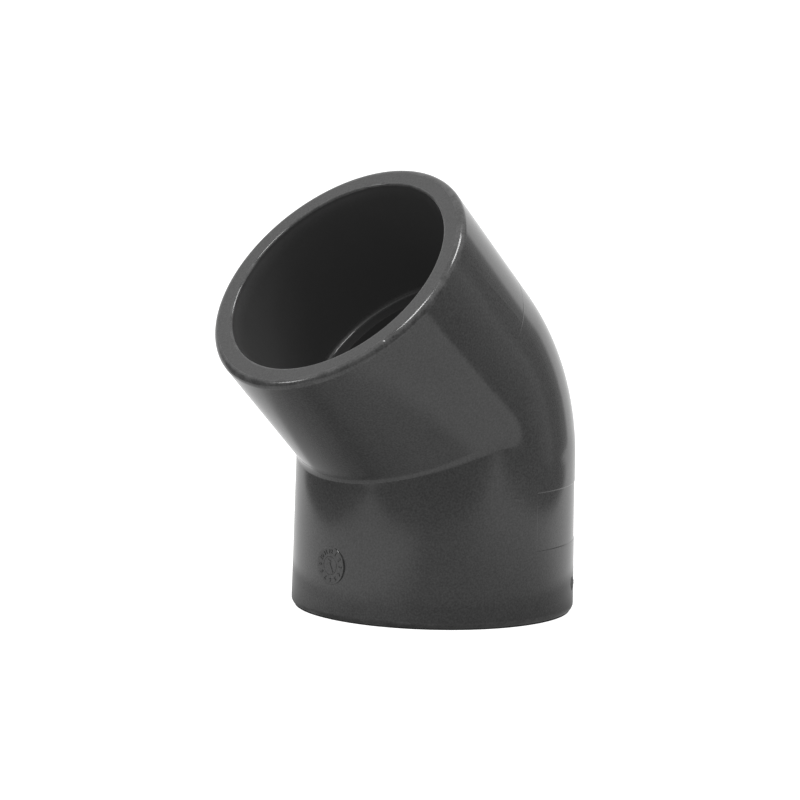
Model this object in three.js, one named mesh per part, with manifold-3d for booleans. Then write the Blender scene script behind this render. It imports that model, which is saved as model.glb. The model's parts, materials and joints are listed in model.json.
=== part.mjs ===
// A 45 degree elbow for PVC-U pressure pipe, with a plain solvent-weld socket at each end.
//
// The fitting is one injection moulding. A closed wall section runs down the outside of a leg,
// round the mouth and up the bore to the mitre plane between the legs; its mirror image makes the
// other leg, and the section is swept once round the axis. Two tools then mark the outside.
//
// Frame: millimetres, +Z up. The fitting stands on the mouth of its lower socket, with the origin
// in the middle of its bounding box's bottom face. The lower leg is parallel to Z, and the upper
// leg leans towards -X, the throat side. +X is the heel side.

import * as THREE from 'three';
import { mergeVertices } from 'three/addons/utils/BufferGeometryUtils.js';
import Module from 'manifold-3d';

const wasm = await Module();
wasm.setup();

// Driving dimensions
const PIPE_RADIUS = 25; // outside of the 50 mm pipe that each socket takes
const PIPE_WALL = 3.7; // the same pipe's wall, which the passage continues
const SOCKET_DEPTH = 31; // mouth to pipe stop
const LAYING_LENGTH = 12.2; // pipe stop to the point where the two axes meet
const BEND_ANGLE = Math.PI / 4;
const MOUTH_RADIUS = 30.5; // outside, at the mouth

// Wall section, worked out from the driving dimensions
const CENTRE_TO_MOUTH = SOCKET_DEPTH + LAYING_LENGTH;
const BORE_MOUTH_RADIUS = PIPE_RADIUS + 0.15; // the bore narrows towards the stop
const BORE_ROOT_RADIUS = PIPE_RADIUS + 0.05;
const LEAD_IN_RADIUS = BORE_MOUTH_RADIUS + 0.5; // a short cone at the mouth guides the pipe in
const LEAD_IN_DEPTH = 2;
const PASSAGE_RADIUS = PIPE_RADIUS - PIPE_WALL;
const BEND_RADIUS = MOUTH_RADIUS * 0.988; // outside, at the bend: the skin's moulding draft

// Edge roundings
const RIM_ROUNDING = 1.0; // outer edge of a mouth
const ENTRY_ROUNDING = 0.55; // inner edge of a mouth
const ROOT_ROUNDING = 0.8; // corner between the bore and its pipe stop
const LIP_ROUNDING = 0.6; // edge between the pipe stop and the passage
const PASSAGE_ROUNDING = 2; // where the two passages meet
const CREASE_ROUNDING = 2.5; // outside of the throat
const HEEL_SWEEP = MOUTH_RADIUS * 0.86; // the heel is swept about a point this far from the axis

// Marks on the outside of the lower socket. Each floor or face lies this far from the socket's axis.
const PANEL = { low: 15.8, high: 28.3, halfAngle: THREE.MathUtils.degToRad(88), floor: 30.05 };
const DATE_DISC = { height: 11.7, angle: Math.PI, radius: 4, face: 30.4 };
const GATE = { height: 6.4, angle: THREE.MathUtils.degToRad(-53.5), radius: 1.7, face: 30.7 };
const CLEAR = MOUTH_RADIUS + 1; // the panel's cutter reaches out to here, past the skin
const BURIED = MOUTH_RADIUS - 2; // a raised mark's disc starts here, inside the wall

// Mesh fineness
const SECTIONS = 72; // round the axis
const SKIN_TURN_STEPS = 6; // each half of the outer bend
const PASSAGE_TURN_STEPS = 3;
const RIM_STEPS = 3;
const SMALL_ROUNDING_STEPS = 2;
const DISC_SIDES = 24;

const MITRE = BEND_ANGLE / 2;
const BEND_CENTRE = new THREE.Vector3(0, 0, CENTRE_TO_MOUTH);

/** Radius of the outer bend in the section at this angle: large at the heel, small at the throat. */
function skinTurnRadius(angle) {
  const swept = HEEL_SWEEP + BEND_RADIUS * Math.cos(angle);
  const share = THREE.MathUtils.smoothstep(Math.cos(angle), -0.35, 0.15);
  return THREE.MathUtils.lerp(CREASE_ROUNDING, swept, share);
}

/** A point at a given distance from the lower leg's axis and height above its mouth. */
function onLeg(angle, radius, height) {
  return new THREE.Vector3(radius * Math.cos(angle), radius * Math.sin(angle), height);
}

/** Lower half of a tube's turn: points from the mitre plane down to where the leg is straight. */
function halfTurn(angle, radius, turnRadius, steps) {
  const offset = radius * Math.cos(angle);
  const straightEnd = CENTRE_TO_MOUTH + (offset - turnRadius) * Math.tan(MITRE);
  const points = [];
  for (let step = 0; step <= steps; step += 1) {
    const turned = MITRE * (1 - step / steps);
    points.push(new THREE.Vector3(
      offset - turnRadius * (1 - Math.cos(turned)),
      radius * Math.sin(angle),
      straightEnd + turnRadius * Math.sin(turned),
    ));
  }
  return points;
}

/** A quarter round in a leg's wall, about (radius, height), from one direction to another. */
function quarterRound(angle, radius, height, rounding, from, to, steps) {
  const points = [];
  for (let step = 0; step <= steps; step += 1) {
    const direction = THREE.MathUtils.lerp(from, to, step / steps);
    points.push(onLeg(
      angle,
      radius + rounding * Math.cos(direction),
      height + rounding * Math.sin(direction),
    ));
  }
  return points;
}

/** The lower leg's wall in one section, from the skin on the mitre plane round to the passage. */
function halfWall(angle) {
  const outward = 0;
  const up = Math.PI / 2;
  const inward = Math.PI;
  const down = -Math.PI / 2;
  const entryCentre = LEAD_IN_RADIUS + ENTRY_ROUNDING;
  const rimCentre = MOUTH_RADIUS - RIM_ROUNDING;
  const rootCentre = BORE_ROOT_RADIUS - ROOT_ROUNDING;
  const rootHeight = SOCKET_DEPTH - ROOT_ROUNDING;
  const lipCentre = PASSAGE_RADIUS + LIP_ROUNDING;
  const lipHeight = SOCKET_DEPTH + LIP_ROUNDING;
  const n = SMALL_ROUNDING_STEPS;
  return [
    ...halfTurn(angle, BEND_RADIUS, skinTurnRadius(angle), SKIN_TURN_STEPS),
    ...quarterRound(angle, rimCentre, RIM_ROUNDING, RIM_ROUNDING, outward, down, RIM_STEPS),
    ...quarterRound(angle, entryCentre, ENTRY_ROUNDING, ENTRY_ROUNDING, -up, -inward, n),
    onLeg(angle, BORE_MOUTH_RADIUS, LEAD_IN_DEPTH),
    ...quarterRound(angle, rootCentre, rootHeight, ROOT_ROUNDING, outward, up, n),
    ...quarterRound(angle, lipCentre, lipHeight, LIP_ROUNDING, -up, -inward, n),
    ...halfTurn(angle, PASSAGE_RADIUS, PASSAGE_ROUNDING, PASSAGE_TURN_STEPS).reverse(),
  ];
}

/** Mirror image of a point in the mitre plane, which turns one leg into the other. */
function mirrored(point) {
  const normal = new THREE.Vector3(-Math.sin(MITRE), 0, Math.cos(MITRE));
  const distance = point.clone().sub(BEND_CENTRE).dot(normal);
  return point.clone().addScaledVector(normal, -2 * distance);
}

/** The whole wall in one section, as a closed loop of points. */
function wholeWall(angle) {
  const lower = halfWall(angle);
  const upper = lower.slice(1, -1).map(mirrored).reverse();
  return [...lower, ...upper];
}

/** Joins closed loops of points, each to the next and the last to the first, into a geometry. */
function skinOver(loops) {
  const count = loops[0].length;
  const index = [];
  for (let i = 0; i < loops.length; i += 1) {
    const here = i * count;
    const next = ((i + 1) % loops.length) * count;
    for (let j = 0; j < count; j += 1) {
      const k = (j + 1) % count;
      index.push(here + j, here + k, next + j);
      index.push(next + j, here + k, next + k);
    }
  }
  const geometry = new THREE.BufferGeometry().setFromPoints(loops.flat());
  geometry.setIndex(index);
  return geometry;
}

function toSolid(geometry) {
  const bare = geometry.clone();
  bare.deleteAttribute('normal');
  bare.deleteAttribute('uv');
  const merged = mergeVertices(bare, 1e-5);
  return new wasm.Manifold(new wasm.Mesh({
    numProp: 3,
    vertProperties: new Float32Array(merged.attributes.position.array),
    triVerts: new Uint32Array(merged.index.array),
  }));
}

function toGeometry(solid) {
  const mesh = solid.getMesh();
  const geometry = new THREE.BufferGeometry();
  geometry.setAttribute('position', new THREE.BufferAttribute(mesh.vertProperties, 3));
  geometry.setIndex(new THREE.BufferAttribute(mesh.triVerts, 1));
  geometry.computeVertexNormals();
  return geometry;
}

/** The fitting before its marks are added. */
function plainElbow() {
  const loops = [];
  for (let i = 0; i < SECTIONS; i += 1) {
    loops.push(wholeWall((2 * Math.PI * i) / SECTIONS));
  }
  return skinOver(loops);
}

/** Cuts the shallow marking panel that runs round the heel half of the lower socket. */
function panelCutter() {
  const shape = new THREE.Shape();
  shape.absarc(0, 0, CLEAR, -PANEL.halfAngle, PANEL.halfAngle, false);
  shape.absarc(0, 0, PANEL.floor, PANEL.halfAngle, -PANEL.halfAngle, true);
  const height = PANEL.high - PANEL.low;
  const cutter = new THREE.ExtrudeGeometry(shape, {
    depth: height,
    bevelEnabled: false,
    curveSegments: SECTIONS / 2,
  });
  return cutter.translate(0, 0, PANEL.low);
}

/** The flat-faced disc of a raised mark on the lower socket, with its back inside the wall. */
function raisedDisc(mark) {
  const length = mark.face - BURIED;
  const disc = new THREE.CylinderGeometry(mark.radius, mark.radius, length, DISC_SIDES);
  disc.rotateZ(-Math.PI / 2);
  disc.translate(BURIED + length / 2, 0, mark.height);
  return disc.rotateZ(mark.angle);
}

/** The fitting with its marking panel, its date disc and its trimmed gate stub. */
function markedElbow() {
  const solid = toSolid(plainElbow())
    .subtract(toSolid(panelCutter()))
    .add(toSolid(raisedDisc(DATE_DISC)))
    .add(toSolid(raisedDisc(GATE)));
  return toGeometry(solid);
}

const pvcGrey = new THREE.MeshStandardMaterial({ color: 0x484a4c, roughness: 0.36, metalness: 0 });

const elbowBody = new THREE.Mesh(markedElbow(), pvcGrey);
elbowBody.name = 'elbow_body';

// The box reaches from the heel side of the lower mouth to the throat side of the upper one.
const extent = new THREE.Box3().setFromObject(elbowBody);
elbowBody.position.x = -(extent.min.x + extent.max.x) / 2;

const elbow = new THREE.Group();
elbow.add(elbowBody);

export default elbow;
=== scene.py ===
"""The looks of a 45 degree PVC-U pipe elbow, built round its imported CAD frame.

Metres, +Z up, in the frame's own axes. The lower socket stands on the floor with its axis parallel
to Z; the upper socket leans towards -X, the throat side. +X is the heel side. Angles round a leg's
axis start at the heel and run towards +Y. Heights on a leg are measured from its mouth.
"""

import json
import math
import random

import bmesh
import bpy
from mathutils import Matrix, Vector, noise


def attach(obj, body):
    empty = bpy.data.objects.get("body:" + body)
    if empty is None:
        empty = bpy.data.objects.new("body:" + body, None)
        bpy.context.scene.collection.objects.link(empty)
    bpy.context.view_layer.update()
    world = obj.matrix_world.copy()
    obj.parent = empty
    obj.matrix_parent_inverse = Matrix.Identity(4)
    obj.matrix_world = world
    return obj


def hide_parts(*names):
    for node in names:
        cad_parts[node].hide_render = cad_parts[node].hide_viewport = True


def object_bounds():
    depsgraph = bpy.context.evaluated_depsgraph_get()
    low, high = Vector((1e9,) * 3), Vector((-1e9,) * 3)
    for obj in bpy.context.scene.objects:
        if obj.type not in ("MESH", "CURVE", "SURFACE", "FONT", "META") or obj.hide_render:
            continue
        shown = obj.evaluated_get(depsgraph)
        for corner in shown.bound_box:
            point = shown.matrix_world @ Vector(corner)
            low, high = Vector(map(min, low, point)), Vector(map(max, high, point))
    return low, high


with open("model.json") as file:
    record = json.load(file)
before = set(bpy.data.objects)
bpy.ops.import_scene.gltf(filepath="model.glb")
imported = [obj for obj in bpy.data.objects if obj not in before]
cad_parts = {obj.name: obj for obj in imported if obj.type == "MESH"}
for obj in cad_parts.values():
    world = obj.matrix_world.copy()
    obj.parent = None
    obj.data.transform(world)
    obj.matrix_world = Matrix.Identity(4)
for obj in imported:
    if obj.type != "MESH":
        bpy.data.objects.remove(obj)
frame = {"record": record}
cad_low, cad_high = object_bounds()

MM = 0.001
BEND_ANGLE = math.radians(45)
MITRE = BEND_ANGLE / 2

# Sizes that the frame gives
MOUTH_RADIUS = (cad_high.y - cad_low.y) / 2
AXIS_X = cad_high.x - MOUTH_RADIUS  # the lower socket's axis
upper_face = next(m for m in frame["record"]["mounts"] if m["name"] == "upper_socket_face")
CENTRE_TO_MOUTH = upper_face["pos_m"][2] / (1 + math.cos(BEND_ANGLE))
BEND_CENTRE = Vector((0, 0, CENTRE_TO_MOUTH))

# The wall's section, as moulded
BEND_RADIUS = MOUTH_RADIUS * 0.988  # outside, at the bend: the skin's moulding draft
BORE_MOUTH_RADIUS = 25.15 * MM
BORE_ROOT_RADIUS = 25.05 * MM
LEAD_IN_RADIUS = 25.65 * MM
LEAD_IN_DEPTH = 4 * MM  # the lead-in curves into the bore over this depth
PASSAGE_RADIUS = 21.3 * MM
SOCKET_DEPTH = 31 * MM
RIM_ROUNDING = 1.5 * MM
ENTRY_ROUNDING = 0.55 * MM
ROOT_ROUNDING = 1.2 * MM
LIP_ROUNDING = 0.08 * MM
PASSAGE_ROUNDING = 2.0 * MM
CREASE_ROUNDING = 2.5 * MM
HEEL_SWEEP = MOUTH_RADIUS * 0.86  # the heel is swept about a point this far from the axis
SWEEP_START = (-0.35, 0.15)  # the sweep takes over from the crease between these cosines
SUPPORT = 0.08 * MM  # an extra line of points this far inside each flat's edge keeps its shading flat

# Steps in each stretch of the section
SKIN_TURN_STEPS = 22
PASSAGE_TURN_STEPS = 6
RIM_STEPS = 12
LEAD_IN_STEPS = 6
SMALL_ROUNDING_STEPS = 6
LIP_STEPS = 5

# The shallow marking panel round the heel half of the lower socket
PANEL_LOW = 15.8 * MM
PANEL_HIGH = 28.3 * MM
PANEL_HALF_ANGLE = math.radians(88)
PANEL_DEPTH = 0.1 * MM
PANEL_EDGE = 0.15 * MM  # width of the step round it
PANEL_FADE = math.radians(25)  # it grows shallow over this much at its ends
PANEL_LEAST = 0.25  # the share of its depth that is left there

# Lines that the tool leaves on the heel side of the upper socket
WITNESS_HEIGHT = 26.9 * MM
WITNESS_HALF_ANGLE = math.radians(74)
WITNESS_FADE = WITNESS_HALF_ANGLE * 0.9  # it starts to die out here
WITNESS_PROUD = 0.03 * MM
WITNESS_WIDTH = 0.34 * MM
FLOW_START = (math.radians(-68.5), 2 * MM)
FLOW_END = (math.radians(-63), 26 * MM)
FLOW_FADE_IN = (-0.05, 0.15)  # shares of the way from its start to its end
FLOW_FADE_OUT = (1.03, 0.97)
FLOW_PROUD = 0.03 * MM
FLOW_WIDTH = 0.8 * MM

# Handling damage: ticks are (angle, height, length, lean from the leg's axis)
UPPER_TICK_HEIGHT = 12.9 * MM
LOWER_TICK_HEIGHT = 27.5 * MM
UPPER_TICKS = [(math.radians(-80), UPPER_TICK_HEIGHT, 1.1 * MM, math.radians(12))]
LOWER_TICKS = [
    (math.radians(-100 + 0.9 * step), LOWER_TICK_HEIGHT, 0.8 * MM, math.radians(-25))
    for step in range(3)
]
TICK_PROUD = 0.08 * MM
TICK_WIDTH = 0.28 * MM
NICKED_ARC = (math.radians(-116), math.radians(5))  # its middle and how far it reaches each way
NICK_COUNT = 9
NICK_SEED = 11
NICK_DIRECTIONS = (-70, -15)  # degrees round the rim's rounded edge: 0 is outwards, -90 its face
NICK_SIZES = (0.3, 0.65)  # mm across
NICK_DEPTHS = (0.08, 0.16)  # mm

# Zones of the surface. The last one, the stop, lip and passage, gets a grey a quarter of the rest's:
# painted shade deep inside the bore.
SKIN, RIM, BORE, PASSAGE_PAINTED_SHADE = range(4)


def smooth_step(low, high, value):
    share = min(max((value - low) / (high - low), 0), 1)
    return share * share * (3 - 2 * share)


def hump(distance, width):
    """A smooth ridge's height, from 1 at its middle to 0 at half its width."""
    share = min(abs(distance) / (width / 2), 1)
    return (1 - share * share) ** 2


# ---------------------------------------------------------------- marks in the wall


def panel_relief(angle, height):
    half = PANEL_EDGE / 2
    inside = smooth_step(PANEL_LOW - half, PANEL_LOW + half, height)
    inside *= smooth_step(PANEL_HIGH + half, PANEL_HIGH - half, height)
    past_end = (abs(angle) - PANEL_HALF_ANGLE) * MOUTH_RADIUS
    inside *= smooth_step(half, -half, past_end)
    full = smooth_step(PANEL_HALF_ANGLE, PANEL_HALF_ANGLE - PANEL_FADE, abs(angle))
    return -PANEL_DEPTH * inside * (PANEL_LEAST + (1 - PANEL_LEAST) * full)


def witness_relief(angle, height):
    fade = smooth_step(WITNESS_HALF_ANGLE, WITNESS_FADE, abs(angle))
    return WITNESS_PROUD * hump(height - WITNESS_HEIGHT, WITNESS_WIDTH) * fade


def flow_relief(angle, height):
    """A flow line that runs slanting from the rim to the witness line."""
    share = (height - FLOW_START[1]) / (FLOW_END[1] - FLOW_START[1])
    middle = FLOW_START[0] + (FLOW_END[0] - FLOW_START[0]) * share
    fade = smooth_step(*FLOW_FADE_IN, share) * smooth_step(*FLOW_FADE_OUT, share)
    return FLOW_PROUD * hump((angle - middle) * MOUTH_RADIUS, FLOW_WIDTH) * fade


def tick_relief(angle, height, ticks):
    total = 0.0
    for tick_angle, tick_height, length, lean in ticks:
        across = (angle - tick_angle) * MOUTH_RADIUS
        along = height - tick_height
        turned_across = across * math.cos(lean) - along * math.sin(lean)
        turned_along = across * math.sin(lean) + along * math.cos(lean)
        total += hump(turned_across, TICK_WIDTH) * hump(turned_along, length)
    return TICK_PROUD * total


def make_nicks():
    """Small dents in the upper rim's outer edge: (angle, direction round the edge, size, depth)."""
    chance = random.Random(NICK_SEED)
    middle, reach = NICKED_ARC
    nicks = []
    for _ in range(NICK_COUNT):
        nicks.append((
            middle + chance.uniform(-reach, reach),
            math.radians(chance.uniform(*NICK_DIRECTIONS)),
            chance.uniform(*NICK_SIZES) * MM,
            chance.uniform(*NICK_DEPTHS) * MM,
        ))
    return nicks


NICKS = make_nicks()


def nick_depth(angle, direction):
    depth = 0.0
    for nick_angle, nick_direction, size, deep in NICKS:
        across = (angle - nick_angle) * MOUTH_RADIUS
        along = (direction - nick_direction) * RIM_ROUNDING
        depth += deep * hump(math.hypot(across, along), size)
    return depth


def lower_relief(angle, height):
    return panel_relief(angle, height) + tick_relief(angle, height, LOWER_TICKS)


def upper_relief(angle, height):
    lines = witness_relief(angle, height) + flow_relief(angle, height)
    return lines + tick_relief(angle, height, UPPER_TICKS)


# ---------------------------------------------------------------- the wall in one section


def skin_turn_radius(angle):
    """Radius of the outer bend in this section: large at the heel, small at the throat."""
    swept = HEEL_SWEEP + BEND_RADIUS * math.cos(angle)
    share = smooth_step(*SWEEP_START, math.cos(angle))
    return CREASE_ROUNDING + (swept - CREASE_ROUNDING) * share


def half_turn(angle, radius, turn_radius, steps):
    """Points from the mitre plane down to where the leg is straight."""
    offset = radius * math.cos(angle)
    straight_end = CENTRE_TO_MOUTH + (offset - turn_radius) * math.tan(MITRE)
    points = []
    for step in range(steps + 1):
        turned = MITRE * (1 - step / steps)
        points.append(Vector((
            offset - turn_radius * (1 - math.cos(turned)),
            radius * math.sin(angle),
            straight_end + turn_radius * math.sin(turned),
        )))
    return points


def on_leg(angle, radius, height):
    return Vector((radius * math.cos(angle), radius * math.sin(angle), height))


def no_dent(angle, direction):
    return 0.0


def quarter_round(angle, radius, height, rounding, start, end, steps, dent=no_dent):
    """Points round a corner, about (radius, height), from one direction in degrees to another."""
    points = []
    for step in range(steps + 1):
        direction = math.radians(start + (end - start) * step / steps)
        reach = rounding - dent(angle, direction)
        points.append(on_leg(
            angle,
            radius + reach * math.cos(direction),
            height + reach * math.sin(direction),
        ))
    return points


def merged(even, marks, spare):
    """Even values, but with closer ones across each mark, given as (middle, width, steps).

    Even values that lie less than the spare distance past a mark's own are left out.
    """
    fine = [
        middle + width * (step / steps - 0.5)
        for middle, width, steps in marks for step in range(steps + 1)
    ]
    kept = [
        value for value in even
        if all(abs(value - middle) > width / 2 + spare for middle, width, _ in marks)
    ]
    return sorted(kept + fine)


# The straight skin's rows of points, and the sections, are closer together across its marks
TOP_ROW = 29.2 * MM  # just above the panel
ROW_STEPS = 14
ROW_SPARE = 0.25 * MM
SECTION_SPARE = math.radians(0.3)
PANEL_BAND = PANEL_EDGE + 2 * SUPPORT
WITNESS_BAND = WITNESS_WIDTH + 2 * SUPPORT
LOWER_ROWS = [
    (LOWER_TICK_HEIGHT, 1.0 * MM, 8),
    (PANEL_HIGH, PANEL_BAND, 8),
    (PANEL_LOW, PANEL_BAND, 8),
]
UPPER_ROWS = [(UPPER_TICK_HEIGHT, 1.3 * MM, 10), (WITNESS_HEIGHT, WITNESS_BAND, 10)]


def skin_heights(rows):
    """Heights of the rows down the straight skin, from the top."""
    bottom = RIM_ROUNDING + SUPPORT
    span = TOP_ROW - bottom
    even = [bottom + span * step / ROW_STEPS for step in range(ROW_STEPS + 1)]
    return merged(even, rows, ROW_SPARE)[::-1]


def straight_skin(angle, rows, relief):
    """Points down the straight skin of a leg, which widens evenly towards its mouth."""
    offset = BEND_RADIUS * math.cos(angle)
    straight_end = CENTRE_TO_MOUTH + (offset - skin_turn_radius(angle)) * math.tan(MITRE)
    points = []
    for height in skin_heights(rows):
        share = (straight_end - height) / (straight_end - RIM_ROUNDING)
        radius = BEND_RADIUS + (MOUTH_RADIUS - BEND_RADIUS) * share
        points.append(on_leg(angle, radius + relief(angle, height), height))
    return points


def lead_in(angle):
    """Points down the flare that guides the pipe in, from the entry's edge to the bore proper."""
    top = ENTRY_ROUNDING + SUPPORT
    points = []
    for step in range(LEAD_IN_STEPS + 1):
        share = step / LEAD_IN_STEPS
        radius = BORE_MOUTH_RADIUS + (LEAD_IN_RADIUS - BORE_MOUTH_RADIUS) * (1 - share) ** 2
        points.append(on_leg(angle, radius, top + (LEAD_IN_DEPTH - top) * share))
    return points


def half_wall(angle, rows, relief, dent):
    """One leg's wall in one section, as (zone, edge wear and painted glint, points) stretches from skin
    to passage.
    """
    rim_centre = MOUTH_RADIUS - RIM_ROUNDING
    entry_centre = LEAD_IN_RADIUS + ENTRY_ROUNDING
    root_centre = BORE_ROOT_RADIUS - ROOT_ROUNDING
    root_height = SOCKET_DEPTH - ROOT_ROUNDING
    lip_centre = PASSAGE_RADIUS + LIP_ROUNDING
    lip_height = SOCKET_DEPTH + LIP_ROUNDING
    face = [on_leg(angle, rim_centre - SUPPORT, 0), on_leg(angle, entry_centre + SUPPORT, 0)]
    bore = lead_in(angle) + [
        on_leg(angle, (BORE_MOUTH_RADIUS + BORE_ROOT_RADIUS) / 2, SOCKET_DEPTH / 2),
        on_leg(angle, BORE_ROOT_RADIUS, root_height - SUPPORT),
    ]
    stop = [
        on_leg(angle, root_centre - SUPPORT, SOCKET_DEPTH),
        on_leg(angle, lip_centre + SUPPORT, SOCKET_DEPTH),
    ]
    rim_edge = quarter_round(
        angle, rim_centre, RIM_ROUNDING, RIM_ROUNDING, 0, -90, RIM_STEPS, dent)
    entry_edge = quarter_round(
        angle, entry_centre, ENTRY_ROUNDING, ENTRY_ROUNDING, -90, -180, SMALL_ROUNDING_STEPS)
    root = quarter_round(
        angle, root_centre, root_height, ROOT_ROUNDING, 0, 90, SMALL_ROUNDING_STEPS)
    lip = quarter_round(angle, lip_centre, lip_height, LIP_ROUNDING, -90, -180, LIP_STEPS)
    passage = half_turn(angle, PASSAGE_RADIUS, PASSAGE_ROUNDING, PASSAGE_TURN_STEPS)[::-1]
    return [
        (SKIN, 0, half_turn(angle, BEND_RADIUS, skin_turn_radius(angle), SKIN_TURN_STEPS)),
        (SKIN, 0, straight_skin(angle, rows, relief)),
        # A wear mark of 1 makes the rounded edges paler: handling wear, and a painted highlight.
        (SKIN, 1, rim_edge),
        (RIM, 0, face),
        (SKIN, 1, entry_edge),
        (BORE, 0, bore),
        (SKIN, 0, root),
        (PASSAGE_PAINTED_SHADE, 0, stop),
        (PASSAGE_PAINTED_SHADE, 0, lip),
        (PASSAGE_PAINTED_SHADE, 0, passage),
    ]


def mirrored(point):
    """Mirror image in the mitre plane, which turns one leg into the other."""
    normal = Vector((-math.sin(MITRE), 0, math.cos(MITRE)))
    return point - normal * (2 * (point - BEND_CENTRE).dot(normal))


def whole_wall(angle):
    """The closed loop of (zone, edge wear and painted glint, point) round the wall in one section."""
    lower = half_wall(angle, LOWER_ROWS, lower_relief, no_dent)
    upper = half_wall(angle, UPPER_ROWS, upper_relief, nick_depth)
    loop = [(zone, wear_and_glint, point) for zone, wear_and_glint, points in lower for point in points]
    other = [(zone, wear_and_glint, mirrored(point)) for zone, wear_and_glint, points in upper for point in points]
    return loop + other[1:-1][::-1]


def section_angles():
    """Angles of the sections round the axis, a degree apart but closer together across the marks."""
    even = [math.radians(degrees) for degrees in range(-180, 180)]
    panel_end = PANEL_BAND / MOUTH_RADIUS
    nicks = (NICKED_ARC[0], math.radians(12), 48)
    lower_ticks = (math.radians(-99.1), math.radians(4), 24)
    upper_tick = (math.radians(-82.5), math.radians(9), 44)
    flow_line = (math.radians(-66), math.radians(8), 20)
    marks = [
        nicks,
        lower_ticks,
        upper_tick,
        flow_line,
        (-PANEL_HALF_ANGLE, panel_end, 8),
        (PANEL_HALF_ANGLE, panel_end, 8),
    ]
    return merged(even, marks, SECTION_SPARE)


# ---------------------------------------------------------------- meshes


def body_mesh():
    """The moulded body as one closed mesh, with a material slot for each zone of its surface."""
    loops = [whole_wall(angle) for angle in section_angles()]
    count = len(loops[0])
    shift = Vector((AXIS_X, 0, 0))
    points = [point + shift for loop in loops for _, _, point in loop]
    wear_and_glint_values = [wear_and_glint for loop in loops for _, wear_and_glint, _ in loop]
    faces = []
    zones = []
    for i in range(len(loops)):
        here = i * count
        beyond = ((i + 1) % len(loops)) * count
        for j in range(count):
            k = (j + 1) % count
            faces.append((here + j, here + k, beyond + k, beyond + j))
            # A face between two zones belongs to the flatter one, which is never the skin.
            zones.append(max(loops[i][j][0], loops[i][k][0]))
    mesh = bpy.data.meshes.new("elbow")
    mesh.from_pydata([p[:] for p in points], [], faces)
    mesh.polygons.foreach_set("material_index", zones)
    mesh.polygons.foreach_set("use_smooth", [True] * len(faces))
    # The wear attribute marks the edges that are painted paler: wear, and a painted highlight.
    mesh.attributes.new("wear_and_glint", "FLOAT", "POINT").data.foreach_set("value", wear_and_glint_values)
    mesh.update()
    return mesh


def add_piece(name, mesh, *materials):
    """Puts a piece of the fitting on the frame's only body."""
    for material in materials:
        mesh.materials.append(material)
    piece = bpy.data.objects.new(name, mesh)
    bpy.context.collection.objects.link(piece)
    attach(piece, "root")
    return piece


def on_skin(angle, height, radius):
    """Carries a mark's own axes, x sideways, y up and z outwards, to its place on the lower leg."""
    outward = Vector((math.cos(angle), math.sin(angle), 0))
    up = Vector((0, 0, 1))
    sideways = up.cross(outward)
    place = Matrix((sideways, up, outward)).transposed().to_4x4()
    place.translation = outward * radius + Vector((AXIS_X, 0, height))
    return place


def keep_flat(x, y, z):
    return x, y, z


def lathe(profile, sides, shape=keep_flat):
    """Turns a profile of (radius, height) points, which starts and ends on the axis, into a solid."""
    body = bmesh.new()
    rings = []
    for radius, height in profile:
        ring = []
        for side in range(1 if radius == 0 else sides):
            angle = 2 * math.pi * side / sides
            x, y = radius * math.cos(angle), radius * math.sin(angle)
            ring.append(body.verts.new(shape(x, y, height)))
        rings.append(ring)
    for inner, outer in zip(rings, rings[1:]):
        for side in range(sides):
            after = (side + 1) % sides
            corners = [inner[side % len(inner)], outer[side % len(outer)],
                       outer[after % len(outer)], inner[after % len(inner)]]
            body.faces.new(dict.fromkeys(corners))
    return body


def finish_mark(body, name, place, sharp_angle):
    """Closes off a mark's bmesh as a mesh in its place, smooth but for its sharp edges."""
    bmesh.ops.recalc_face_normals(body, faces=body.faces)
    mesh = bpy.data.meshes.new(name)
    body.to_mesh(mesh)
    body.free()
    mesh.transform(place)
    mesh.polygons.foreach_set("use_smooth", [True] * len(mesh.polygons))
    mesh.set_sharp_from_angle(angle=sharp_angle)
    return mesh


# ---------------------------------------------------------------- the date disc

DISC_ANGLE = math.pi
DISC_HEIGHT = 11.7 * MM
DISC_RADIUS = 4.05 * MM
DISC_FACE = 30.46 * MM  # from the socket's axis
DISC_BURIED = 1.5 * MM  # its back is this far inside the wall
DISC_EDGE = 0.05 * MM  # a narrow slant round its face
DISC_SIDES = 96
DIAL_RADIUS = 1.95 * MM  # of the turning pointer in the middle
GROOVE_WIDTH = 0.2 * MM
GROOVE_DEPTH = 0.07 * MM
NUMERAL_RING = 3.0 * MM
NUMERAL_SIZE = 1.25 * MM
NUMERAL_BOLD = 0.02 * MM  # its strokes are widened by this much each way
MARK_PROUD = 0.13 * MM
POINTER_TURN = math.radians(28)


def disc_profile():
    return [
        (0, 0),
        (DIAL_RADIUS - GROOVE_WIDTH / 2, 0),
        (DIAL_RADIUS - GROOVE_WIDTH / 4, -GROOVE_DEPTH),
        (DIAL_RADIUS + GROOVE_WIDTH / 4, -GROOVE_DEPTH),
        (DIAL_RADIUS + GROOVE_WIDTH / 2, 0),
        (DISC_RADIUS - DISC_EDGE, 0),
        (DISC_RADIUS, -DISC_EDGE),
        (DISC_RADIUS, -DISC_BURIED),
        (0, -DISC_BURIED),
    ]


def add_numerals(body):
    """The months 1 to 12 round the disc, like a clock's hours."""
    for month in range(1, 13):
        text = bpy.data.curves.new("numeral", "FONT")
        text.body = str(month)
        text.size = NUMERAL_SIZE
        text.extrude = MARK_PROUD
        text.offset = NUMERAL_BOLD
        text.align_x = "CENTER"
        text.align_y = "CENTER"
        holder = bpy.data.objects.new("numeral", text)
        bpy.context.collection.objects.link(holder)
        mesh = bpy.data.meshes.new_from_object(holder)
        turned = Matrix.Rotation(-2 * math.pi * month / 12, 4, "Z")
        mesh.transform(turned @ Matrix.Translation((0, NUMERAL_RING, 0)))
        body.from_mesh(mesh)
        bpy.data.objects.remove(holder)
        bpy.data.curves.remove(text)
        bpy.data.meshes.remove(mesh)


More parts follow.
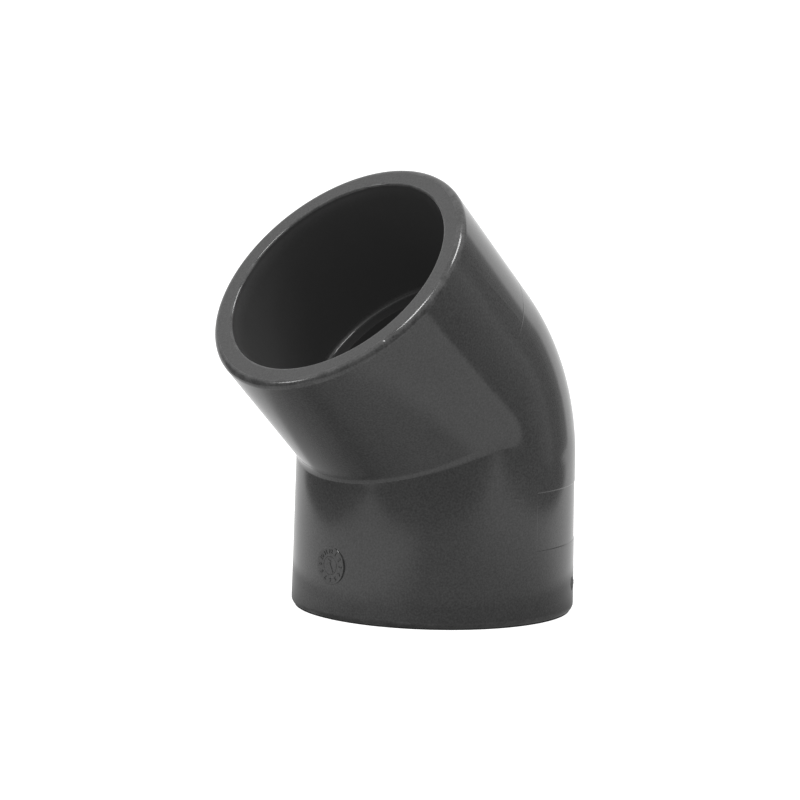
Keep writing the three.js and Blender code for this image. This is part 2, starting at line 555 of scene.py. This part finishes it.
def add_pointer(body):
    """The raised arrow across the dial."""
    half_shaft, half_head = 0.17 * MM, 0.7 * MM
    tip, neck, tail = 1.6 * MM, 0.65 * MM, -1.55 * MM
    outline = [
        (-half_shaft, tail), (half_shaft, tail), (half_shaft, neck), (half_head, neck),
        (0, tip), (-half_head, neck), (-half_shaft, neck),
    ]
    turned = Matrix.Rotation(POINTER_TURN, 4, "Z")
    low = [body.verts.new(turned @ Vector((x, y, -MARK_PROUD))) for x, y in outline]
    high = [body.verts.new(turned @ Vector((x, y, MARK_PROUD))) for x, y in outline]
    body.faces.new(high)
    body.faces.new(low[::-1])
    for i in range(len(outline)):
        k = (i + 1) % len(outline)
        body.faces.new((low[i], low[k], high[k], high[i]))


def date_disc_mesh():
    body = lathe(disc_profile(), DISC_SIDES)
    add_numerals(body)
    add_pointer(body)
    place = on_skin(DISC_ANGLE, DISC_HEIGHT, DISC_FACE)
    return finish_mark(body, "date_disc", place, math.radians(30))


# ---------------------------------------------------------------- the gate stub

GATE_ANGLE = math.radians(-53.5)
GATE_HEIGHT = 6.4 * MM
GATE_RADIUS = 1.7 * MM
GATE_FACE = 30.72 * MM
GATE_DOME = 0.34 * MM  # its face falls this far from the middle to the edge, just below the skin
GATE_BURIED = 1.5 * MM
GATE_ROOT_RADIUS = GATE_RADIUS * 1.05  # inside the wall
GATE_STEPS = 12  # from the middle of its face to the edge
GATE_SIDES = 48
TEAR_SIZE = 0.55 * MM  # from one lump of the torn face to the next
TEAR_DEPTH = 0.1 * MM
FINE_TEAR_SCALE = 2.7  # the finer lumps are this many times smaller
FINE_TEAR_DEPTH = 0.06 * MM
RAGGEDNESS = 0.16  # of its outline, as a share of its radius
RAGGED_SCALE = 0.7  # the outline's lumps are larger than the face's
RAGGED_SHIFT = Vector((5, 0, 0))  # takes the outline's lumps from another part of the noise


def torn(x, y, z):
    """Roughens the stub where the gate was snapped off: jagged on its face, ragged at its edge."""
    if z < -GATE_BURIED / 2:
        return x, y, z
    where = Vector((x, y, 0)) / TEAR_SIZE
    ragged = 1 + RAGGEDNESS * noise.noise(where * RAGGED_SCALE + RAGGED_SHIFT)
    rough = TEAR_DEPTH * noise.noise(where)
    rough += FINE_TEAR_DEPTH * noise.noise(where * FINE_TEAR_SCALE)
    return x * ragged, y * ragged, z + rough


def gate_stub_mesh():
    shares = [step / GATE_STEPS for step in range(GATE_STEPS + 1)]
    profile = [(GATE_RADIUS * share, -GATE_DOME * share * share) for share in shares]
    profile += [
        (GATE_ROOT_RADIUS, -GATE_BURIED / 3),
        (GATE_ROOT_RADIUS, -GATE_BURIED),
        (0, -GATE_BURIED),
    ]
    place = on_skin(GATE_ANGLE, GATE_HEIGHT, GATE_FACE)
    return finish_mark(lathe(profile, GATE_SIDES, torn), "gate_stub", place, math.radians(45))


# ---------------------------------------------------------------- the plastic

PVC_GREY = 0.048
PVC_IOR = 1.54

# Sizes of the patches in its pigment, its gloss and its surface
CLOUD_SIZE = 9 * MM
SPECK_SIZE = 0.42 * MM
PEEL_SIZE = 2.2 * MM
WEAR_AND_GLINT_PATCH_SIZE = 2.5 * MM
HAIRLINE_SIZE = 0.3 * MM  # across
HAIRLINE_STRETCH = 40  # as many times as long
HAIRLINE_LEAN = (0.5, 0.35, 0.2)

CLOUD_RANGE = (0.1, 0.9)  # how far the clouds' noise reaches
CLOUDY_PIGMENT = (0.9, 1.1)
CLOUDY_GLOSS = (0.75, 1.25)
WORN_AND_GLINT_RANGE = (0.42, 0.62)  # from sound to worn and paler with a painted highlight, in the patches' noise
HAIRLINE_RANGE = (0.72, 0.8)  # only the noise's rare peaks are lines
# Rubbed edges are paler. This is partly wear and partly a painted highlight along the mouths' rounded
# edges.
RUBBED_AND_GLINT_PALER = 0.5
RUBBED_DULLER = 0.1
HAIRLINE_PALER = 0.1


def add_node(tree, kind, **values):
    """A node with some of its inputs set, by name, to values or to other nodes' sockets."""
    node = tree.nodes.new("ShaderNode" + kind)
    for name, value in values.items():
        feed(tree, node.inputs[name.replace("_", " ")], value)
    return node


def feed(tree, socket, value):
    if isinstance(value, bpy.types.NodeSocket):
        tree.links.new(value, socket)
    else:
        socket.default_value = value


def noise_at(tree, place, size, detail):
    """Smooth random values, mostly 0.3 to 0.7, whose patches are about this many metres across."""
    return add_node(tree, "TexNoise", Vector=place, Scale=1 / size, Detail=detail).outputs["Fac"]


def spread(tree, value, low, high, start=0.3, end=0.7):
    """Carries a value's range from start to end onto low to high."""
    node = add_node(tree, "MapRange", Value=value)
    for name, number in zip(("From Min", "From Max", "To Min", "To Max"), (start, end, low, high)):
        node.inputs[name].default_value = number
    return node.outputs["Result"]


def calculate(tree, operation, a, b):
    node = tree.nodes.new("ShaderNodeMath")
    node.operation = operation
    feed(tree, node.inputs[0], a)
    feed(tree, node.inputs[1], b)
    return node.outputs["Value"]


def hairlines(tree, place):
    """Fine, faint scratches in one leaning direction: 0 nearly everywhere and 1 on a line."""
    stretched = add_node(
        tree, "Mapping", Vector=place, Rotation=HAIRLINE_LEAN, Scale=(1, 1, HAIRLINE_STRETCH))
    stretched.vector_type = "TEXTURE"
    streaks = noise_at(tree, stretched.outputs["Vector"], HAIRLINE_SIZE, 1.0)
    return spread(tree, streaks, 0, 1, *HAIRLINE_RANGE)


def rubbed_edges(tree, place):
    """1 in patches on the edges that the mesh's wear attribute marks: handling wear, and partly a
    painted highlight where it makes them paler.
    """
    wear_and_glint = add_node(tree, "Attribute")
    wear_and_glint.attribute_name = "wear_and_glint"
    patches = spread(tree, noise_at(tree, place, WEAR_AND_GLINT_PATCH_SIZE, 5.0), 0, 1, *WORN_AND_GLINT_RANGE)
    return calculate(tree, "MULTIPLY", wear_and_glint.outputs["Fac"], patches)


def pvc_colour(tree, clouds, specks, rubbed_and_glint, scratches, mottle, grey):
    """Cloudy, mottled pigment, paler where the surface is scratched and on its rubbed edges, whose
    paleness is partly a painted highlight.
    """
    cloudy = spread(tree, clouds, *CLOUDY_PIGMENT, *CLOUD_RANGE)
    pigment = calculate(tree, "ADD", cloudy, spread(tree, specks, -mottle, mottle))
    scuffs_and_glint = calculate(tree, "MULTIPLY", rubbed_and_glint, RUBBED_AND_GLINT_PALER)
    if scratches is not None:
        faint = calculate(tree, "MULTIPLY", scratches, HAIRLINE_PALER)
        scuffs_and_glint = calculate(tree, "ADD", scuffs_and_glint, faint)
    level = calculate(tree, "MULTIPLY", calculate(tree, "ADD", pigment, scuffs_and_glint), grey)
    return add_node(tree, "CombineColor", Red=level, Green=level, Blue=level).outputs["Color"]


def pvc_roughness(tree, clouds, rubbed_and_glint, roughness):
    """Roughness that varies with the clouds, and is higher where the surface is rubbed."""
    glossiest, dullest = (roughness * share for share in CLOUDY_GLOSS)
    uneven = spread(tree, clouds, glossiest, dullest, *CLOUD_RANGE)
    return calculate(tree, "ADD", uneven, calculate(tree, "MULTIPLY", rubbed_and_glint, RUBBED_DULLER))


def pvc(name, roughness, grain, mottle, peel=0.003 * MM, grey=PVC_GREY, scratched=False):
    """Grey moulded PVC. Its grain and peel are the heights of its fine and its wide roughness."""
    material = bpy.data.materials.new(name)
    material.use_nodes = True
    tree = material.node_tree
    tree.nodes.clear()
    place = add_node(tree, "TexCoord").outputs["Object"]
    clouds = noise_at(tree, place, CLOUD_SIZE, 3.0)
    specks = noise_at(tree, place, SPECK_SIZE, 2.0)
    waves = noise_at(tree, place, PEEL_SIZE, 1.0)
    rubbed_and_glint = rubbed_edges(tree, place)
    scratches = hairlines(tree, place) if scratched else None

    fine = add_node(tree, "Bump", Height=specks, Distance=grain, Strength=1.0).outputs["Normal"]
    wide = add_node(tree, "Bump", Height=waves, Distance=peel, Strength=1.0, Normal=fine)
    shader = add_node(
        tree, "BsdfPrincipled",
        Base_Color=pvc_colour(tree, clouds, specks, rubbed_and_glint, scratches, mottle, grey),
        Roughness=pvc_roughness(tree, clouds, rubbed_and_glint, roughness),
        IOR=PVC_IOR,
        Normal=wide.outputs["Normal"],
    )
    add_node(tree, "OutputMaterial", Surface=shader.outputs["BSDF"])
    return material


def add_fitting():
    skin = pvc("pvc_skin", roughness=0.11, grain=0.0008 * MM, mottle=0.35, scratched=True)
    rim = pvc("pvc_rim", roughness=0.26, grain=0.004 * MM, mottle=0.25)
    bore = pvc("pvc_bore", roughness=0.32, grain=0.002 * MM, mottle=0.1)
    # The stop, lip and passage are a quarter as grey as the rest: painted shade deep inside the
    # fitting.
    passage = pvc(
        "pvc_passage_painted_shade", roughness=0.8, grain=0.004 * MM, mottle=0.2, grey=PVC_GREY * 0.25)
    torn_face = pvc(
        "pvc_torn", roughness=0.5, grain=0.01 * MM, mottle=0.4, peel=0.01 * MM, grey=PVC_GREY * 2.2)
    elbow = add_piece("elbow", body_mesh(), skin, rim, bore, passage)
    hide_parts("elbow_body")
    add_piece("date_disc", date_disc_mesh(), skin)
    add_piece("gate_stub", gate_stub_mesh(), torn_face)


add_fitting()

# ---------------------------------------------------------------- the camera

VIEW_AZIMUTH = math.radians(-43.85)
VIEW_ELEVATION = math.radians(7.91)
VIEW_ROLL = math.radians(1.404)
VIEW_DISTANCE = CENTRE_TO_MOUTH * 23.99  # from the bend's centre
VIEW_ASIDE = CENTRE_TO_MOUTH * -0.1851  # the camera stands this far to the side of the bend's centre
VIEW_ABOVE = CENTRE_TO_MOUTH * 0.0365
LENS = 216.3  # mm
SENSOR = 36  # mm across

SIDE = Vector((math.cos(VIEW_AZIMUTH), math.sin(VIEW_AZIMUTH), 0))  # to the camera's right
AWAY = Vector((-math.sin(VIEW_AZIMUTH), math.cos(VIEW_AZIMUTH), 0))  # level, away from the camera
UP = Vector((0, 0, 1))


def add_camera():
    back = UP * math.sin(VIEW_ELEVATION) - AWAY * math.cos(VIEW_ELEVATION)
    right = SIDE * math.cos(VIEW_ROLL) + back.cross(SIDE) * math.sin(VIEW_ROLL)
    up = back.cross(right)
    target = BEND_CENTRE + Vector((AXIS_X, 0, 0))
    camera = bpy.data.objects.new("camera", bpy.data.cameras.new("camera"))
    place = Matrix((right, up, back)).transposed().to_4x4()
    place.translation = target + back * VIEW_DISTANCE + right * VIEW_ASIDE + up * VIEW_ABOVE
    camera.matrix_world = place
    camera.data.lens = LENS
    camera.data.sensor_width = SENSOR
    bpy.context.collection.objects.link(camera)
    bpy.context.scene.camera = camera


add_camera()

# ---------------------------------------------------------------- the studio

GLARE = 0.0105
CEILING = 0.8
WALL_TOP = (0.3, 0.6)  # the walls give way to the ceiling over this stretch of a direction's rise
# The walls, as (degrees from +X, brightness): a pale backdrop behind the fitting, dark elsewhere
ROOM = [
    (-180, 0.15), (-60, 0.17), (-42, 0.25), (-24, 0.42), (-19, 0.24), (-8, 0.22), (-3, 0.32),
    (4, 0.4), (8, 1.03), (92, 1.03), (99, 0.45), (106, 0.1), (150, 0.12), (180, 0.15),
]
PAPER_REACH = 3
PAPER_HEIGHT = 3
PAPER_SIDES = 64
SHADOW_SETBACK = 0.7 * MM  # the line under the lower mouth stops this far inside its outer radius
SHADOW_RISE = 0.01 * MM  # clear of the floor
SHADOW_SIDES = 180

# The table's mesh, in metres to the camera's right of the origin and away from the camera
TABLE_SIDE = (-0.22, 0.26)
TABLE_AWAY = (-0.22, 0.32)
TABLE_COLUMNS = 69
TABLE_ROWS = 97
TABLE_DROP = 0.1 * MM  # below the floor

# The edges of the lit table top in that mesh
LEFT_EDGE = -0.155
RIGHT_EDGE = 0.195
FRONT_EDGE = -0.168
EDGE_SOFT = 0.01  # half the width over which each edge fades
EDGE_SPREAD = 0.2  # the sides spread by this much for each metre towards the camera
RIGHT_BEND = 0.06  # the right side starts to spread here, and the left one level with the origin
FRONT_SLANT = 0.12

# The table top's brightness. A stretch is where a change starts and ends, along side or away.
TABLE_LIGHT = 0.82
BACK_STRETCH = (-0.03, 0.06)
BACK_GAIN = 0.14
LEFT_STRETCH = (0, -0.08)
LEFT_LOSS = 0.17
BEYOND_STRETCH = (0.12, 0.18)
BEYOND_LIGHT = 0.2  # past its edges
BEYOND_GAIN = 0.75  # and past its far side

# The fitting's shade on it. These stretches are distances from its axis, in mouth radii.
DEEPEST_SHADE = 0.4  # the share of the light that is left right beside the fitting
NEAR_STRETCH = (1, 1.5)
NEAR_GAIN = 0.15
FAR_STRETCH = (1.9, 2.4)
FAR_GAIN = 0.45
UNDER_EDGE = 4 * MM  # the table darkens over this much as it passes under the fitting

# The deeper shade below the overhanging upper leg, between a start and an end along X
THROAT_START = (-0.058, -0.045)
THROAT_END = (-0.012, -0.028)
THROAT_WIDE = (0.04, 0.015)  # it fades over this stretch to each side
THROAT_WIDE_SHARE = 0.4
THROAT_CORE = 0.034  # width of its darkest part
THROAT_CORE_SHARE = 0.6
THROAT_LOSS = 0.65
THROAT_SHEEN = 1.9  # the table shines there at a low angle even so

# How the table top's light changes at a low angle: it loses some on the right and gains on the left
SHEEN_SLANT = (0.6, 0.86)  # the change starts and is full at these slants of the view
DARK_SHEEN = 0.6
DARK_STRETCH = (0.2, 0.02)
DARK_START = (-0.06, 0)
BRIGHT_SHEEN = 0.47
BRIGHT_STRETCH = (0, -0.08)
SHEEN_FRONT = (0.05, -0.03)  # both set in over this stretch, going towards the camera


def add_stage_piece(name, mesh, material):
    """A part of the set that no shadow falls from."""
    mesh.materials.append(material)
    piece = bpy.data.objects.new(name, mesh)
    piece.visible_shadow = False
    bpy.context.collection.objects.link(piece)
    return piece


def paper():
    """White paper that stays white in the picture."""
    material = bpy.data.materials.new("floor_paper")
    material.use_nodes = True
    shader = material.node_tree.nodes["Principled BSDF"]
    shader.inputs["Base Color"].default_value = (0.5, 0.5, 0.5, 1)
    shader.inputs["Roughness"].default_value = 0.9
    shader.inputs["Specular IOR Level"].default_value = 0.0
    shader.inputs["Emission Color"].default_value = (1, 1, 1, 1)
    shader.inputs["Emission Strength"].default_value = 0.92
    return material


def glowing():
    """Gives off as much light as the mesh's glow attribute says, less its sheen at a low angle."""
    material = bpy.data.materials.new("table_top")
    material.use_nodes = True
    tree = material.node_tree
    tree.nodes.clear()
    glow = add_node(tree, "Attribute")
    glow.attribute_name = "glow"
    sheen = add_node(tree, "Attribute")
    sheen.attribute_name = "sheen"
    slant = add_node(tree, "LayerWeight", Blend=0.5).outputs["Facing"]
    low_angle = spread(tree, slant, 0, 1, *SHEEN_SLANT)
    loss = calculate(tree, "MULTIPLY", sheen.outputs["Fac"], low_angle)
    kept = calculate(tree, "SUBTRACT", 1.0, loss)
    strength = calculate(tree, "MULTIPLY", glow.outputs["Fac"], kept)
    light = add_node(tree, "Emission", Strength=strength)
    add_node(tree, "OutputMaterial", Surface=light.outputs["Emission"])
    return material


def circle(radius, height, sides, middle=0.0):
    """Points round an upright axis that crosses the X axis at the middle."""
    turns = [2 * math.pi * side / sides for side in range(sides)]
    return [(middle + radius * math.cos(turn), radius * math.sin(turn), height) for turn in turns]


def band(name, first, second):
    """A mesh that joins two circles of points."""
    sides = len(first)
    faces = [(i, (i + 1) % sides, sides + (i + 1) % sides, sides + i) for i in range(sides)]
    mesh = bpy.data.meshes.new(name)
    mesh.from_pydata(first + second, [], faces)
    return mesh


def add_paper():
    """A pale floor and backdrop for the camera only: the plastic mirrors the table and room instead."""
    low = circle(PAPER_REACH, 0, PAPER_SIDES)
    high = circle(PAPER_REACH, PAPER_HEIGHT, PAPER_SIDES)
    floor = bpy.data.meshes.new("floor")
    floor.from_pydata(low, [], [range(PAPER_SIDES)])
    for mesh in (floor, band("backdrop", low, high)):
        piece = add_stage_piece(mesh.name, mesh, paper())
        piece.visible_glossy = False
        piece.visible_diffuse = False


def add_contact_shadow():
    """The thin dark line under the lower mouth's rounded edge, where next to no light gets in."""
    inner, outer = (
        circle(radius, SHADOW_RISE, SHADOW_SIDES, AXIS_X)
        for radius in (MOUTH_RADIUS - RIM_ROUNDING, MOUTH_RADIUS - SHADOW_SETBACK)
    )
    material = bpy.data.materials.new("shadow")
    material.use_nodes = True
    shader = material.node_tree.nodes["Principled BSDF"]
    shader.inputs["Base Color"].default_value = (0.01, 0.01, 0.01, 1)
    shader.inputs["Roughness"].default_value = 1.0
    shader.inputs["Specular IOR Level"].default_value = 0.0
    add_stage_piece("contact_shadow", band("contact_shadow", inner, outer), material)


def on_table(side, away):
    """1 on the lit table top and 0 past its edges, which spread a little towards the camera."""
    left = LEFT_EDGE + EDGE_SPREAD * min(away, 0)
    right = RIGHT_EDGE - EDGE_SPREAD * min(away, RIGHT_BEND)
    front = FRONT_EDGE - FRONT_SLANT * side
    past_left = smooth_step(left - EDGE_SOFT, left + EDGE_SOFT, side)
    before_right = smooth_step(right + EDGE_SOFT, right - EDGE_SOFT, side)
    past_front = smooth_step(front - EDGE_SOFT, front + EDGE_SOFT, away)
    return past_left * before_right * past_front


def throat_shade(side, away):
    """1 on the spot where the upper leg overhangs the table and keeps most of the light off."""
    spot = SIDE * side + AWAY * away
    along = smooth_step(*THROAT_START, spot.x) * smooth_step(*THROAT_END, spot.x)
    wide = THROAT_WIDE_SHARE * smooth_step(*THROAT_WIDE, abs(spot.y))
    core = THROAT_CORE_SHARE * hump(spot.y, THROAT_CORE)
    return along * (wide + core)


def open_light(side, away):
    """How bright the table top would be without the fitting."""
    back = smooth_step(*BACK_STRETCH, away)
    left = smooth_step(*LEFT_STRETCH, side)
    return TABLE_LIGHT + BACK_GAIN * back - LEFT_LOSS * (1 - back) * left


def light_left(side, away, out):
    """The share of its light that the fitting leaves on the table, this many mouth radii out."""
    shade = DEEPEST_SHADE
    shade += NEAR_GAIN * smooth_step(*NEAR_STRETCH, out)
    shade += FAR_GAIN * smooth_step(*FAR_STRETCH, out)
    return shade * (1 - THROAT_LOSS * throat_shade(side, away))


def table_glow(side, away):
    """How bright the table is: shaded close to the fitting, and dark under it and past its edges."""
    from_axis = (SIDE * side + AWAY * away - Vector((AXIS_X, 0, 0))).length
    level = open_light(side, away) * light_left(side, away, from_axis / MOUTH_RADIUS)
    beyond = BEYOND_LIGHT + BEYOND_GAIN * smooth_step(*BEYOND_STRETCH, away)
    under_fitting = smooth_step(MOUTH_RADIUS, MOUTH_RADIUS - UNDER_EDGE, from_axis)
    return (beyond + (level - beyond) * on_table(side, away)) * (1 - under_fitting)


def table_sheen(side, away):
    """How much of its light it loses at a low angle, or gains where this is below zero."""
    dark = DARK_SHEEN * smooth_step(*DARK_STRETCH, side) * smooth_step(*DARK_START, side)
    bright = BRIGHT_SHEEN * smooth_step(*BRIGHT_STRETCH, side)
    front = smooth_step(*SHEEN_FRONT, away) * on_table(side, away)
    return (dark - bright) * front - THROAT_SHEEN * throat_shade(side, away)


def between(ends, step, steps):
    return ends[0] + (ends[1] - ends[0]) * step / steps


def add_table():
    """The table that lights the fitting from below and shows in its gloss."""
    places = [
        (between(TABLE_SIDE, column, TABLE_COLUMNS), between(TABLE_AWAY, row, TABLE_ROWS))
        for row in range(TABLE_ROWS + 1) for column in range(TABLE_COLUMNS + 1)
    ]
    points = [(SIDE * side + AWAY * away - UP * TABLE_DROP)[:] for side, away in places]
    after_row = TABLE_COLUMNS + 1
    faces = [
        (first, first + 1, first + after_row + 1, first + after_row)
        for row in range(TABLE_ROWS)
        for first in range(row * after_row, row * after_row + TABLE_COLUMNS)
    ]
    mesh = bpy.data.meshes.new("table")
    mesh.from_pydata(points, [], faces)
    for name, measure in (("glow", table_glow), ("sheen", table_sheen)):
        values = [measure(side, away) for side, away in places]
        mesh.attributes.new(name, "FLOAT", "POINT").data.foreach_set("value", values)
    table = add_stage_piece("table", mesh, glowing())
    table.visible_camera = False


def add_room():
    """Even, soft surroundings: the room's walls low down, and a pale ceiling above them."""
    world = bpy.data.worlds.new("studio")
    world.use_nodes = True
    tree = world.node_tree
    tree.nodes.clear()
    direction = add_node(tree, "TexCoord").outputs["Generated"]
    axes = add_node(tree, "SeparateXYZ", Vector=direction).outputs
    azimuth = calculate(tree, "ARCTAN2", axes["Y"], axes["X"])
    ramp = tree.nodes.new("ShaderNodeValToRGB")
    tree.links.new(spread(tree, azimuth, 0, 1, -math.pi, math.pi), ramp.inputs["Fac"])
    while len(ramp.color_ramp.elements) < len(ROOM):
        ramp.color_ramp.elements.new(0.5)
    for element, (degrees, level) in zip(ramp.color_ramp.elements, ROOM):
        element.position = (degrees + 180) / 360
        element.color = (level, level, level, 1)
    low_down = spread(tree, axes["Z"], 1, 0, *WALL_TOP)
    walls = calculate(tree, "MULTIPLY", ramp.outputs["Color"], low_down)
    ceiling = spread(tree, axes["Z"], 0, CEILING, *WALL_TOP)
    light = add_node(tree, "Background", Strength=calculate(tree, "ADD", walls, ceiling))
    light.inputs["Color"].default_value = (1, 1, 1, 1)
    add_node(tree, "OutputWorld", Surface=light.outputs["Background"])
    bpy.context.scene.world = world


def add_softbox(name, azimuth, elevation, width, height, radiance):
    """A softbox a metre off, with its azimuth in degrees anticlockwise from the camera's right."""
    a, e = math.radians(azimuth), math.radians(elevation)
    towards = (SIDE * math.cos(a) + AWAY * math.sin(a)) * math.cos(e) + UP * math.sin(e)
    light = bpy.data.lights.new(name, "AREA")
    light.shape = "RECTANGLE"
    light.size = width
    light.size_y = height
    light.energy = radiance * math.pi * width * height
    box = bpy.data.objects.new(name, light)
    box.location = BEND_CENTRE + towards
    box.rotation_mode = "QUATERNION"
    box.rotation_quaternion = towards.to_track_quat("Z", "Y")
    box.visible_camera = False
    bpy.context.collection.objects.link(box)


def develop():
    """Plain contrast, with the faint veil that a bright background lays over a picture's darks."""
    view = bpy.context.scene.view_settings
    view.view_transform = "Standard"
    view.use_curve_mapping = True
    view.curve_mapping.black_level = (-GLARE, -GLARE, -GLARE)
    view.curve_mapping.update()


add_paper()
add_contact_shadow()
add_table()
add_room()
add_softbox("top_light", azimuth=-16, elevation=74, width=0.36, height=0.26, radiance=12.5)
add_softbox("left_light", azimuth=-136, elevation=59, width=0.26, height=0.2, radiance=16)
add_softbox("low_light", azimuth=190, elevation=22, width=0.2, height=0.15, radiance=9)
develop()
